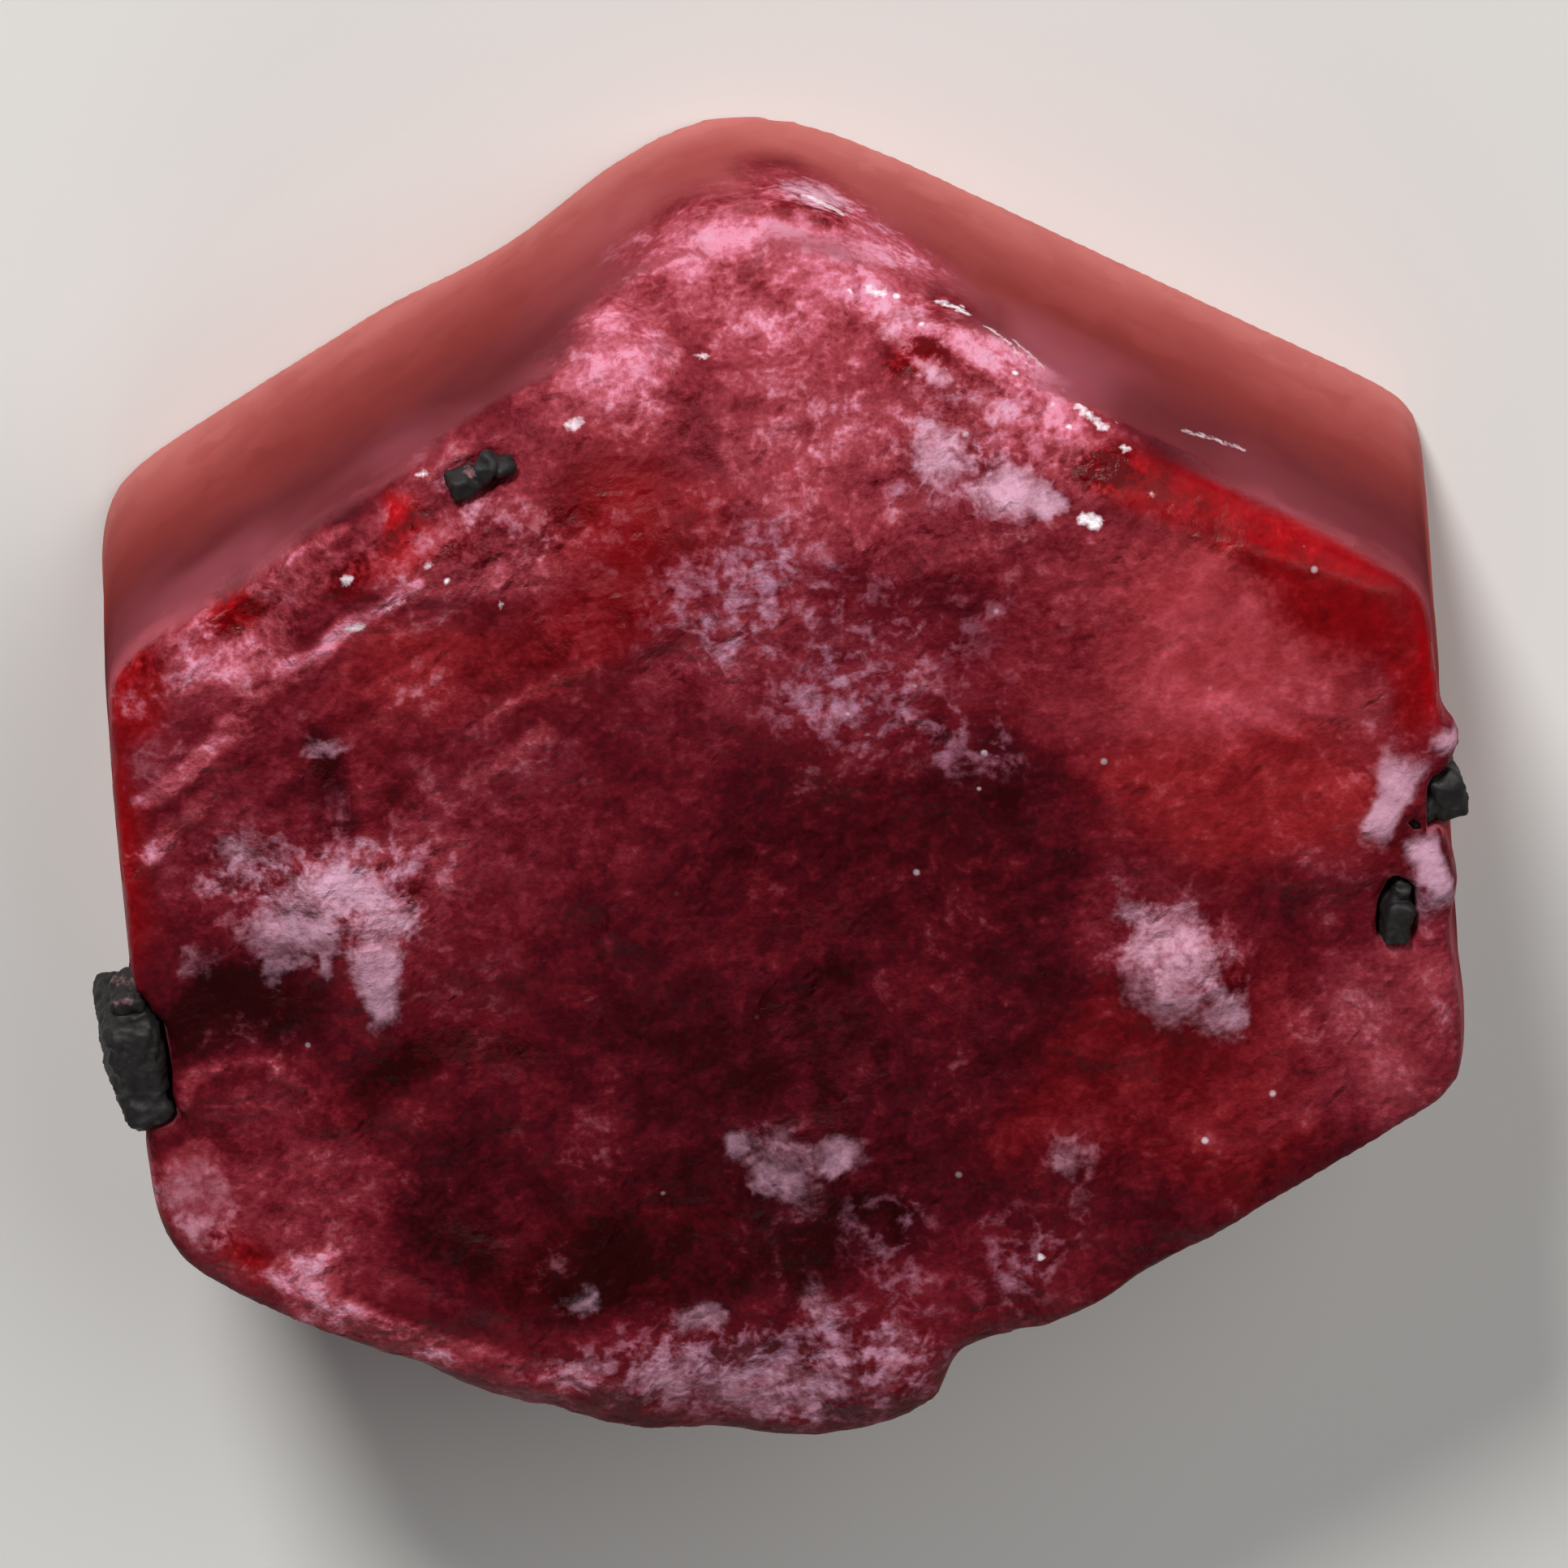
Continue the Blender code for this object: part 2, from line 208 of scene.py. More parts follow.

# places packed with dark inclusions, and painted shade over the lower part of the cap
darkAndShadePlaces = {
    "coreLeft": (0.25, 0.40, 3.87, 0.95, 0.70, 0, 0.5),
    "coreRight": (1.72, 0.65, 3.99, 0.85, 0.65, 0, 0.5),
    "coreLow": (1.10, -0.11, 3.90, 1.40, 0.45, 0, 0.5),
    "upperSmudge": (0.99, 2.22, 3.98, 0.49, 0.60, 0, 0.5),
    "pocketLeft": (-3.32, 1.22, 4.01, 0.17, 0.42, 15, 0.9),
    "bandLeft": (-4.25, -0.58, 3.96, 0.80, 0.24, 0, 1.4),
    "lowLeft": (-2.49, -1.06, 3.98, 0.70, 0.32, 10, 1.0),
    "lowPatchLeft": (-2.52, -2.31, 3.94, 0.50, 0.33, 0, 1.0),
    "lowPatchMiddle": (-1.59, -2.61, 4.00, 0.60, 0.45, 0, 1.35),
    "lowPatchRight": (-0.30, -2.75, 3.96, 0.90, 0.40, 0, 1.3),
    "lowMiddle": (0.40, -1.30, 3.90, 2.20, 0.90, 0, 0.55),
    "lowWide": (-0.50, -2.30, 3.90, 2.20, 0.90, 0, 0.55),
}

# places of a purer red
purePlaces = {
    "rosyRight": (3.24, 1.88, 3.98, 1.35, 1.00, -10, 0.7),
    "orangeRight": (3.43, 0.75, 4.00, 1.00, 0.85, 0, 1.1),
    "leftBrown": (-2.10, 1.90, 3.95, 1.10, 0.55, 25, 0.9),
    "upperLeftRed": (-1.00, 2.80, 3.90, 0.60, 0.70, 0, 0.9),
    "rightLow": (2.60, -1.50, 3.90, 1.40, 0.55, 25, 0.8),
    "rightLower": (2.90, -2.20, 3.80, 0.80, 0.50, 25, 0.8),
    "bandLeft": (-2.50, -1.10, 3.95, 0.70, 0.30, 10, 0.8),
    "lowPatches": (-1.60, -2.60, 3.95, 0.90, 0.50, 0, 0.7),
    "core": (1.00, 0.30, 3.90, 1.40, 0.90, 0, 0.3),
}

# places dusted with fine lilac flecks
frostPlaces = {
    "frostUpper": (-0.05, 2.25, 4.03, 0.80, 0.60, 0, 1.1),
    "frostLower": (0.72, 1.41, 3.97, 0.80, 0.36, 0, 1.0),
    "frostRight": (1.70, 1.29, 3.99, 0.43, 0.36, 0, 1.0),
    "frostLeft": (-0.19, 2.74, 4.00, 0.37, 0.27, 0, 0.5),
    "frostKnob": (1.35, 3.27, 3.56, 0.50, 0.40, 0, 0.7),
    "frostCluster": (-3.30, 0.60, 3.95, 0.85, 0.50, 0, 1.0),
    "frostFoot": (0.30, -2.95, 3.90, 0.40, 0.45, 0, 0.7),
    "frostLowRight": (1.70, -2.85, 3.85, 0.40, 0.40, 0, 0.8),
    "frostCrust": (-0.50, -3.82, 3.70, 1.60, 0.50, -3, 1.0),
    "frostBand": (0.55, 1.90, 4.00, 1.35, 0.60, -8, 0.55),
}

# places where the break reaches down a prism face
chippedPlaces = {
    "apex": (0.53, 4.57, 1.75, 0.55, 0.50, -20, 1.3),
    "apexFoot": (0.30, 4.60, 1.20, 0.40, 0.40, 0, 0.8),
    "leftOfApex": (-0.35, 4.50, 2.10, 0.60, 0.40, 20, 0.9),
    "rightOfApex": (1.15, 4.35, 2.10, 0.50, 0.35, -25, 0.9),
    "seamLeft": (-0.80, 4.22, 2.98, 0.45, 0.35, 15, 1.0),
    "seamRight": (1.31, 4.11, 2.75, 0.40, 0.30, -30, 1.0),
    "bead": (4.86, 0.99, 3.72, 0.16, 0.16, 0, 1.5),
}

# places with a smooth, even skin
smoothPlaces = {
    "rosyRight": (3.24, 1.88, 3.98, 1.25, 0.95, 0, 1.0),
    "orangeRight": (3.43, 0.80, 4.00, 0.95, 0.80, 0, 0.7),
    "redBand": (4.08, 2.42, 3.91, 1.40, 0.40, -30, 1.0),
    "orangeLeft": (-2.45, 1.95, 4.00, 0.85, 0.50, 25, 0.45),
    "cornerRight": (4.55, -1.45, 3.60, 0.40, 0.80, 0, 0.6),
    "rightLow": (2.60, -1.50, 3.90, 1.30, 0.55, 25, 0.4),
    "leftWedge": (-4.38, -2.05, 3.90, 0.36, 0.42, 28, 1.0),
    "edgeBand": (-3.05, -3.22, 3.85, 0.80, 0.20, -24, 0.6),
}

# places of painted glints: pale specks standing for small cleavage faces that flash
paintedGlintPlaces = {
    "rimLeft": (-2.92, 2.74, 4.02, 0.22, 0.12, 0, 1.1),
    "ledge": (-2.70, 2.50, 4.00, 0.50, 0.09, 30, 1.1),
    "ridgeUpper": (1.05, 4.20, 2.65, 0.30, 0.12, -30, 1.1),
    "ridgeMiddle": (1.64, 3.99, 3.04, 0.42, 0.12, -30, 1.1),
    "ridgeLower": (2.35, 3.47, 3.42, 0.34, 0.08, -30, 1.1),
    "wallRight": (3.35, 3.00, 2.88, 0.22, 0.06, -20, 0.9),
    "upperLeft": (-1.29, 3.69, 3.57, 0.14, 0.10, 0, 0.9),
    "besideGrain": (-2.38, 3.39, 3.70, 0.14, 0.07, -20, 0.9),
    "middleRow": (-0.02, -0.22, 3.92, 1.80, 0.14, 0, 0.35),
    "foot": (1.72, -2.91, 3.96, 0.20, 0.12, 0, 0.6),
    "frost": (0.72, 1.41, 3.97, 0.60, 0.25, 0, 0.6),
    "frostRight": (1.60, 1.20, 3.99, 0.35, 0.30, 0, 0.8),
}

# painted highlights: pale strokes standing for larger cleavage faces that flash: the two ends x, y, z,
# thickness, strength
paintedFlashes = {
    "apex": (0.50, 4.58, 1.68, 0.74, 4.51, 1.82, 0.07, 0.75),
    "ridgeTop": (1.42, 4.12, 2.64, 1.64, 4.05, 2.75, 0.045, 0.9),
    "ridgeInner": (0.90, 4.22, 2.61, 1.02, 4.19, 2.67, 0.045, 0.8),
    "ridgeLong": (1.72, 3.96, 2.89, 2.08, 3.71, 3.18, 0.04, 0.7),
    "ridgeOuter": (1.95, 3.88, 2.90, 2.20, 3.72, 3.10, 0.04, 0.6),
    "ridgeLow": (2.34, 3.51, 3.37, 2.52, 3.39, 3.48, 0.045, 0.8),
    "ridgeEnd": (2.64, 3.27, 3.56, 2.67, 3.26, 3.57, 0.045, 0.85),
    "wallUpper": (3.12, 3.13, 3.06, 3.28, 3.04, 2.96, 0.055, 0.6),
    "wallLower": (3.32, 3.01, 2.91, 3.52, 2.90, 2.85, 0.055, 0.6),
    "knob": (2.34, 2.84, 3.86, 2.44, 2.81, 3.86, 0.06, 1.0),
    "knobRight": (2.84, 2.94, 3.73, 2.86, 2.93, 3.73, 0.045, 0.5),
    "rimFar": (-1.28, 3.66, 3.57, -1.22, 3.68, 3.58, 0.05, 0.85),
    "rimGrain": (-2.38, 3.40, 3.69, -2.34, 3.42, 3.69, 0.045, 0.6),
    "rimLeft": (-2.95, 2.74, 4.02, -2.90, 2.75, 4.02, 0.045, 0.9),
    "ledgeStart": (-2.92, 2.40, 4.00, -2.84, 2.44, 4.00, 0.045, 0.9),
    "ledgeMiddle": (-2.70, 2.50, 4.00, -2.56, 2.58, 4.00, 0.04, 0.55),
    "ledgeEnd": (-2.36, 2.80, 3.97, -2.32, 2.82, 3.96, 0.04, 0.6),
    "brownSpeck": (-1.86, 2.48, 4.00, -1.86, 2.51, 4.00, 0.04, 0.7),
    "brokenSpeck": (-0.28, 4.05, 3.20, -0.24, 4.05, 3.20, 0.045, 0.8),
    "footSpeck": (1.72, -2.90, 3.96, 1.74, -2.90, 3.96, 0.045, 0.85),
}

# pale lines along small steps of the cap: the two ends x, y, z, thickness, strength
paleLines = {
    "ledge": (-3.46, 2.03, 3.97, -2.40, 2.68, 4.04, 0.09, 0.80),
    "ledgeLow": (-3.90, 1.72, 3.97, -3.30, 2.02, 3.97, 0.07, 0.60),
    "plateFoot": (-1.98, 2.82, 3.98, -1.35, 2.78, 3.88, 0.04, 0.65),
    "leftStep": (-1.95, 1.66, 3.99, -1.13, 2.10, 4.05, 0.06, 0.50),
    "rim": (-4.50, 2.22, 3.90, -3.50, 2.70, 3.90, 0.07, 0.60),
    "rimUpper": (-3.51, 2.66, 3.88, -2.89, 3.17, 3.93, 0.07, 0.65),
    "leftEdgeUpper": (-4.49, 1.13, 4.00, -3.75, 1.66, 4.01, 0.10, 0.60),
    "leftEdgeLower": (-4.65, 0.61, 3.95, -4.02, 1.16, 3.99, 0.10, 0.55),
    "leftMiddle": (-2.52, 0.93, 3.97, -1.55, 1.50, 3.99, 0.09, 0.32),
    "ringUpper": (-4.30, -1.00, 3.97, -3.75, -0.92, 3.98, 0.06, 0.40),
    "ringRight": (-3.75, -0.92, 3.98, -3.45, -1.25, 3.98, 0.06, 0.45),
    "ringLeft": (-4.30, -1.00, 3.97, -4.48, -1.30, 3.97, 0.06, 0.45),
    "rightPink": (3.20, 1.45, 4.01, 3.73, 1.17, 4.01, 0.14, 0.72),
}

# places drawn out into fine lines, along their own turn
streakPlaces = {
    "upperLeftRim": (-2.90, 2.55, 3.95, 1.30, 0.50, 30, 1.0),
    "ridge": (1.30, 4.00, 2.90, 1.10, 0.50, -32, 0.9),
    "apex": (0.40, 4.50, 2.00, 0.70, 0.50, -15, 0.8),
    "lowerLeft": (-3.00, -2.90, 3.90, 1.20, 0.50, -27, 0.6),
    "leftMiddle": (-2.60, 1.60, 3.95, 1.30, 0.60, 30, 0.5),
}

streakSize = (1.1, 0.14, 0.5)  # along a streak, across it, and down

# shallow steps in the cap: the two ends x, y, how far the left side stands above the right, and how far
# that side reaches
ledges = {
    "leftStepLow": (-3.05, 0.95, -1.77, 1.74, 0.015, 0.9),
    "leftStepHigh": (-1.77, 1.74, -0.50, 2.20, 0.012, 0.8),
    "plateFoot": (-2.25, 2.86, -1.32, 2.80, 0.02, 0.5),
    "rimLedge": (-3.30, 2.16, -2.20, 2.80, 0.015, 0.35),
    "rightShelf": (2.10, 2.75, 3.60, 2.30, 0.01, 0.4),
}


def selectOnly(piece):
    bpy.ops.object.select_all(action="DESELECT")
    piece.select_set(True)
    bpy.context.view_layer.objects.active = piece


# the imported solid's shape with its loose triangles joined, 1000 times as large, so that 1 is a millimetre
def copyOfNode(nodeName, pieceName):
    selectOnly(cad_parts[nodeName])
    bpy.ops.object.duplicate()
    piece = bpy.context.active_object
    piece.name = piece.data.name = pieceName
    piece.data.materials.clear()
    bpy.ops.object.mode_set(mode="EDIT")
    bpy.ops.mesh.select_all(action="SELECT")
    bpy.ops.mesh.remove_doubles(threshold=0.001 * mm)
    bpy.ops.object.mode_set(mode="OBJECT")
    piece.scale = (1 / mm, 1 / mm, 1 / mm)
    bpy.ops.object.transform_apply(location=False, rotation=False, scale=True)
    return piece


def applyModifier(piece, kind, name, **settings):
    modifier = piece.modifiers.new(name, kind)
    for setting, value in settings.items():
        setattr(modifier, setting, value)
    bpy.ops.object.modifier_apply(modifier=modifier.name)


def pointsOf(piece):
    points = np.empty(len(piece.data.vertices) * 3)
    piece.data.vertices.foreach_get("co", points)
    return points.reshape(-1, 3)


def movePoints(piece, points):
    piece.data.vertices.foreach_set("co", points.ravel())
    piece.data.update()


def normalsOf(piece):
    normals = np.empty(len(piece.data.vertices) * 3)
    piece.data.vertex_normals.foreach_get("vector", normals)
    return normals.reshape(-1, 3)


def smoothStep(low, high, value):
    t = np.clip((value - low) / (high - low), 0, 1)
    return t * t * (3 - 2 * t)


# the points, each moved a little by a smooth noise, so that round places turn ragged
def wander(points, size, reach):
    moved = [Vector(p) + noise.noise_vector(Vector(p) / size) * reach for p in points]
    return np.array([tuple(p) for p in moved])


# for each point the middle of its crumb, and that crumb's own random number
def crumbsAt(points, size, seed):
    low = points.min(axis=0) - size
    cells = np.floor((points - low) / size).astype(int)
    jitter = np.random.default_rng(seed).random((*(cells.max(axis=0) + 3), 4))
    middles, luck = np.zeros_like(points), np.zeros(len(points))
    nearest = np.full(len(points), np.inf)
    for step in np.ndindex(3, 3, 3):
        cell = cells + np.array(step) - 1
        own = jitter[cell[:, 0] + 1, cell[:, 1] + 1, cell[:, 2] + 1]
        middle = low + (cell + own[:, :3]) * size
        far = np.linalg.norm(points - middle, axis=1)
        closer = far < nearest
        nearest[closer], middles[closer], luck[closer] = far[closer], middle[closer], own[closer, 3]
    return middles, luck


# how strongly the places reach each point: full within core and nothing beyond edge, as parts of their size
def strengthAt(points, places, core=0.3, edge=1.5, boxy=False):
    best = np.zeros(len(points))
    for x, y, z, wide, high, turn, strength in places.values():
        c, s = math.cos(math.radians(turn)), math.sin(math.radians(turn))
        dx, dy, dz = points[:, 0] - x, points[:, 1] - y, points[:, 2] - z
        along, across = (dx * c + dy * s) / wide, (dy * c - dx * s) / high
        away = dz / max(wide, high, 0.4)
        if boxy:
            along = along / np.clip(1 + 0.3 * across, 0.4, 1.6)  # narrower at its lower end
            far = np.maximum(np.maximum(np.abs(along), np.abs(across)), np.abs(away))
        else:
            far = np.sqrt(along ** 2 + across ** 2 + away ** 2)
        best = np.maximum(best, strength * (1 - smoothStep(core, edge, far)))
    return best


# how strongly the strokes, each laid on the nearest skin, reach each point
def strengthAlong(points, strokes):
    best = np.zeros(len(points))
    for x1, y1, z1, x2, y2, z2, thick, strength in strokes.values():
        start, run = np.array((x1, y1, z1)), np.array((x2 - x1, y2 - y1, z2 - z1))
        middle = start + run / 2
        start = start + points[np.linalg.norm(points - middle, axis=1).argmin()] - middle
        along = np.clip((points - start) @ run / (run @ run), 0, 1)
        far = np.linalg.norm(points - start - along[:, None] * run, axis=1) / thick
        best = np.maximum(best, strength * (1 - smoothStep(0.4, 1.4, far)))
    return best


def streaksAt(points):  # fine lines along each streak place's own direction
    long, thin, deep = streakSize
    lines = np.zeros(len(points))
    for row in streakPlaces.values():
        c, s = math.cos(math.radians(row[5])), math.sin(math.radians(row[5]))
        reach = strengthAt(points, {"place": row})
        for index in np.flatnonzero(reach > 0.01):
            x, y, z = points[index]
            along, across = x * c + y * s, y * c - x * s
            lines[index] += reach[index] * noise.noise((along / long, across / thin, z / deep))
    return lines


def ledgeHeights(points):  # how far each ledge lifts the cap
    lift = np.zeros(len(points))
    for startX, startY, endX, endY, height, reach in ledges.values():
        run = np.array((endX - startX, endY - startY))
        length = np.linalg.norm(run)
        run = run / length
        along = (points[:, :2] - (startX, startY)) @ run
        side = (points[:, :2] - (startX, startY)) @ np.array((-run[1], run[0]))
        inside = smoothStep(0, 0.25, along) * smoothStep(length, length - 0.25, along)
        lift += height * inside * smoothStep(-0.03, 0.03, side) * (1 - smoothStep(0.2 * reach, reach, side))
    return lift


def grainPattern(points):  # soft billows with grains of their own shade in them, swinging about zero
    billows = np.array([noise.fractal(Vector(p) / crystalShape["bloom"], 0.9, 2.2, 3) for p in points])
    _, luck = crumbsAt(wander(points, 0.2, 0.08), crystalShape["cell"], 11)
    return 0.22 * billows + 0.20 * (luck - 0.5) + 0.50 * streaksAt(points)


def facetsOf(points):  # heights in millimetres of small flat faces, each leaning its own way
    middles, luck = crumbsAt(wander(points, 0.2, 0.05), crystalShape["facet"], 5)
    lean = crystalShape["facetLean"] * np.sin(luck[:, None] * np.array((91, 57, 73)))  # a slope for each axis
    return ((points - middles) * lean).sum(axis=1)


def addGroup(piece, name, weights):
    group = piece.vertex_groups.new(name=name)
    for index, weight in enumerate(weights):
        if weight > 0.01:
            group.add([index], float(weight), "REPLACE")


def displace(piece, name, look, texture, group="", **settings):
    pattern = bpy.data.textures.new(name, texture)
    pattern.noise_scale = look["size"]
    for setting, value in settings.items():
        setattr(pattern, setting, value)
    applyModifier(piece, "DISPLACE", name, texture=pattern, strength=look["height"], mid_level=0.5,
                  texture_coords="LOCAL", vertex_group=group)


def finishPiece(piece):  # back to metres, inside the solid model's box, flat where it lies
    piece.scale = (mm, mm, mm)
    bpy.ops.object.transform_apply(location=False, rotation=False, scale=True)
    movePoints(piece, np.clip(pointsOf(piece), cadBox[0], cadBox[1]))
    bpy.ops.object.shade_smooth()


def addAttribute(piece, name, values):
    attribute = piece.data.attributes.new(name, "FLOAT", "POINT")
    attribute.data.foreach_set("value", values.astype(np.float32))


def makeCrystal():
    shape = crystalShape
    piece = copyOfNode("beryl_crystal", "red_beryl_crystal")
    applyModifier(piece, "REMESH", "fineFaces", mode="VOXEL", voxel_size=shape["voxel"])
    applyModifier(piece, "SMOOTH", "relax", factor=0.5, iterations=shape["smoothing"])
    points, normals = pointsOf(piece), normalsOf(piece)
    aboveBase = smoothStep(*shape["footEdge"], points[:, 2])
    broken = smoothStep(*shape["capTilt"], normals[:, 2]) * aboveBase
    middles, luck = crumbsAt(wander(points, 0.3, 0.06), shape["crumb"], 7)
    white = 0.5 * strengthAt(middles, whitePlaces) * (0.6 + 0.8 * luck)
    white = white + 0.5 * strengthAt(wander(points, 0.25, 0.08), whitePlaces)
    blade = strengthAt(wander(wander(points, 0.3, 0.06), 0.09, 0.035), bladePlaces, 0.5, 1.25, True)
    pale = np.maximum(white, blade)
    addGroup(piece, "broken", broken * (1 - shape["smoothed"] * strengthAt(points, smoothPlaces)))
    addGroup(piece, "walls", (1 - broken) * aboveBase)
    addGroup(piece, "white", np.clip(pale * broken, 0, 1))
    displace(piece, "lumps", shape["lumps"], "CLOUDS", "broken", noise_depth=3)
    displace(piece, "plates", shape["plates"], "VORONOI", "broken", color_mode="POSITION")
    displace(piece, "grit", shape["grit"], "CLOUDS", "broken", noise_depth=2)
    displace(piece, "crust", shape["crust"], "CLOUDS", "white", noise_depth=2)
    displace(piece, "wallWaves", shape["wallWaves"], "CLOUDS", "walls", noise_depth=0)
    addGroup(piece, "bead", strengthAt(pointsOf(piece), {"bead": whitePlaces["rimBead"]}))
    applyModifier(piece, "DISPLACE", "bead", strength=shape["bead"], mid_level=0.0, vertex_group="bead")
    points = pointsOf(piece)
    points[:, 2] += ledgeHeights(points) * broken * smoothStep(*shape["ledgeRise"], points[:, 2])
    movePoints(piece, points)
    piece.vertex_groups.clear()
    raggedSmall = wander(points, *shape["raggedFine"])
    raggedBig = wander(wander(points, *shape["raggedWide"]), *shape["raggedMiddle"])
    addAttribute(piece, "white", pale)
    wedge = strengthAt(wander(points, 0.3, 0.05), wedgePlaces, 0.8, 1.15, True)
    lines = strengthAlong(wander(points, 0.3, 0.06), paleLines)
    addAttribute(piece, "cloud", np.maximum.reduce([strengthAt(raggedBig, cloudPlaces), wedge, lines]))
    addAttribute(piece, "clear", strengthAt(raggedSmall, clearPlaces))
    # dark inclusions, and painted shade over the lower cap
    addAttribute(piece, "dark", strengthAt(raggedBig, darkAndShadePlaces))
    addAttribute(piece, "pure", strengthAt(raggedBig, purePlaces))
    addAttribute(piece, "frost", strengthAt(raggedBig, frostPlaces))
    addAttribute(piece, "even", strengthAt(raggedBig, smoothPlaces))
    # where the painted glints and painted flashes of light go
    addAttribute(piece, "paintedGlint", strengthAt(points, paintedGlintPlaces))
    addAttribute(piece, "paintedFlash", strengthAlong(points, paintedFlashes))
    addAttribute(piece, "broken", np.maximum(broken, strengthAt(raggedSmall, chippedPlaces)))
    addAttribute(piece, "crumbs", grainPattern(points))
    addAttribute(piece, "facet", facetsOf(points))
    addAttribute(piece, "level", broken * smoothStep(*shape["levelTilt"], normals[:, 2]))
    finishPiece(piece)
    print("crystal:", len(piece.data.polygons), "faces")
    return piece


crystal = makeCrystal()


# places where the black grains carry pale crumbs of beryl
dustPlaces = {
    "leftTop": (-4.88, -0.34, 3.90, 0.26, 0.14, -20, 0.5),
    "rim": (-2.00, 3.49, 3.84, 0.06, 0.12, 0, 0.6),
}

grainShape = {
    "voxel": 0.020,
    "pits": {"size": 0.11, "height": 0.05},
    "grit": {"size": 0.05, "height": 0.02},
    "swell": 0.012,  # closes the seat that the solid leaves round each grain
}


def makeGrain(nodeName):  # the black grains set in the crystal's edge
    shape = grainShape
    piece = copyOfNode(nodeName, nodeName.replace("black_grain", "bixbyite"))
    applyModifier(piece, "REMESH", "fineFaces", mode="VOXEL", voxel_size=shape["voxel"])
    applyModifier(piece, "SMOOTH", "relax", factor=0.5, iterations=2)
    applyModifier(piece, "DISPLACE", "swell", strength=shape["swell"], mid_level=0.0)
    displace(piece, "pits", shape["pits"], "VORONOI")
    displace(piece, "grit", shape["grit"], "CLOUDS", noise_depth=2)
    addAttribute(piece, "dust", strengthAt(wander(pointsOf(piece), 0.2, 0.08), dustPlaces))
    finishPiece(piece)
    return piece


grainNodes = [name for name in sorted(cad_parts) if name.startswith("black_grain")]
grains = {name: makeGrain(name) for name in grainNodes}
print("grains:", len(grains))


berylLook = {
    # from the darkest red to the milkiest pink, as the veils of inclusions thicken
    "milk": {0.0: "1C0204", 0.2: "2C0305", 0.32: "480814", 0.42: "61101A", 0.5: "711C28", 0.6: "832933",
             0.7: "963943", 0.8: "AB4D5B", 0.9: "C3667A", 1.0: "D7829A"},
    "pureTint": "FFB4AC",  # over the clearer parts, where fewer inclusions wash out the red
    "clearRed": ("5A0309", "B80A14"),  # deepest, brightest
    "lilac": "B47C94",
    "white": "D6A4BA",
    # painted highlight colour of the glints and flashes
    "paintedGlint": "F4E6EE",
    # prism faces, from the base up to the cap, with painted glow: orange next to the base where light comes
    # through, brown-mauve higher up
    "wallColourAndGlow": {0.0: "BC6C68", 0.2: "9A4946", 0.45: "7A302E", 0.72: "5E2428", 0.88: "682A30", 1.0: "96444C"},
    "wallMilk": "B8606E",  # where clouds come close to them
    "tall": 3.97,  # height of the prism faces
    "ior": 1.57,  # beryl
    "gloss": 0.05,  # of the cap; its skin is etched, so it shines less than a cut stone
    "wallGloss": 0.0,  # prism faces are frosted
    "wallScatter": 0.6,  # light sinks into their frosted skin; the cap's shades already hold that glow
    "scatterReach": 0.3,
    "roughness": (0.46, 0.60),  # of the cap, smoothest and roughest
    "absorb": "F21C14",
    "absorbDensity": 900,  # per metre: a few millimetres turn white light deep red
    "seeThrough": 0.3,  # of the clearest places
    "mottleSize": 0.30,
    "fleckSize": 0.05,
    "chipSize": 0.13,
    "chipBend": 0.2,  # how far the chips are pulled out of shape
    "glintSpacing": 0.17,
    # how much each pattern adds to the patchiness of the skin, and what brings their sum to about zero
    "mottleShare": 0.8,
    "fleckShare": 0.5,
    "chipShare": 0.2,
    "centre": -0.70,
    # how milky it is: the clouds add, dark inclusions and painted shade take away
    "plainMilk": 0.38,
    "cloudMilk": 0.62,
    "darkMilk": -0.16,
    "patchMilk": 0.75,
    # how far the patches tear the edges of clear and white places
    "clearTear": -1.3,
    "whiteTear": 1.7,
    "skinHeight": 0.03,  # of the flecks
    "skinDepth": 0.7,  # how strongly the small faces and flecks catch the light
}


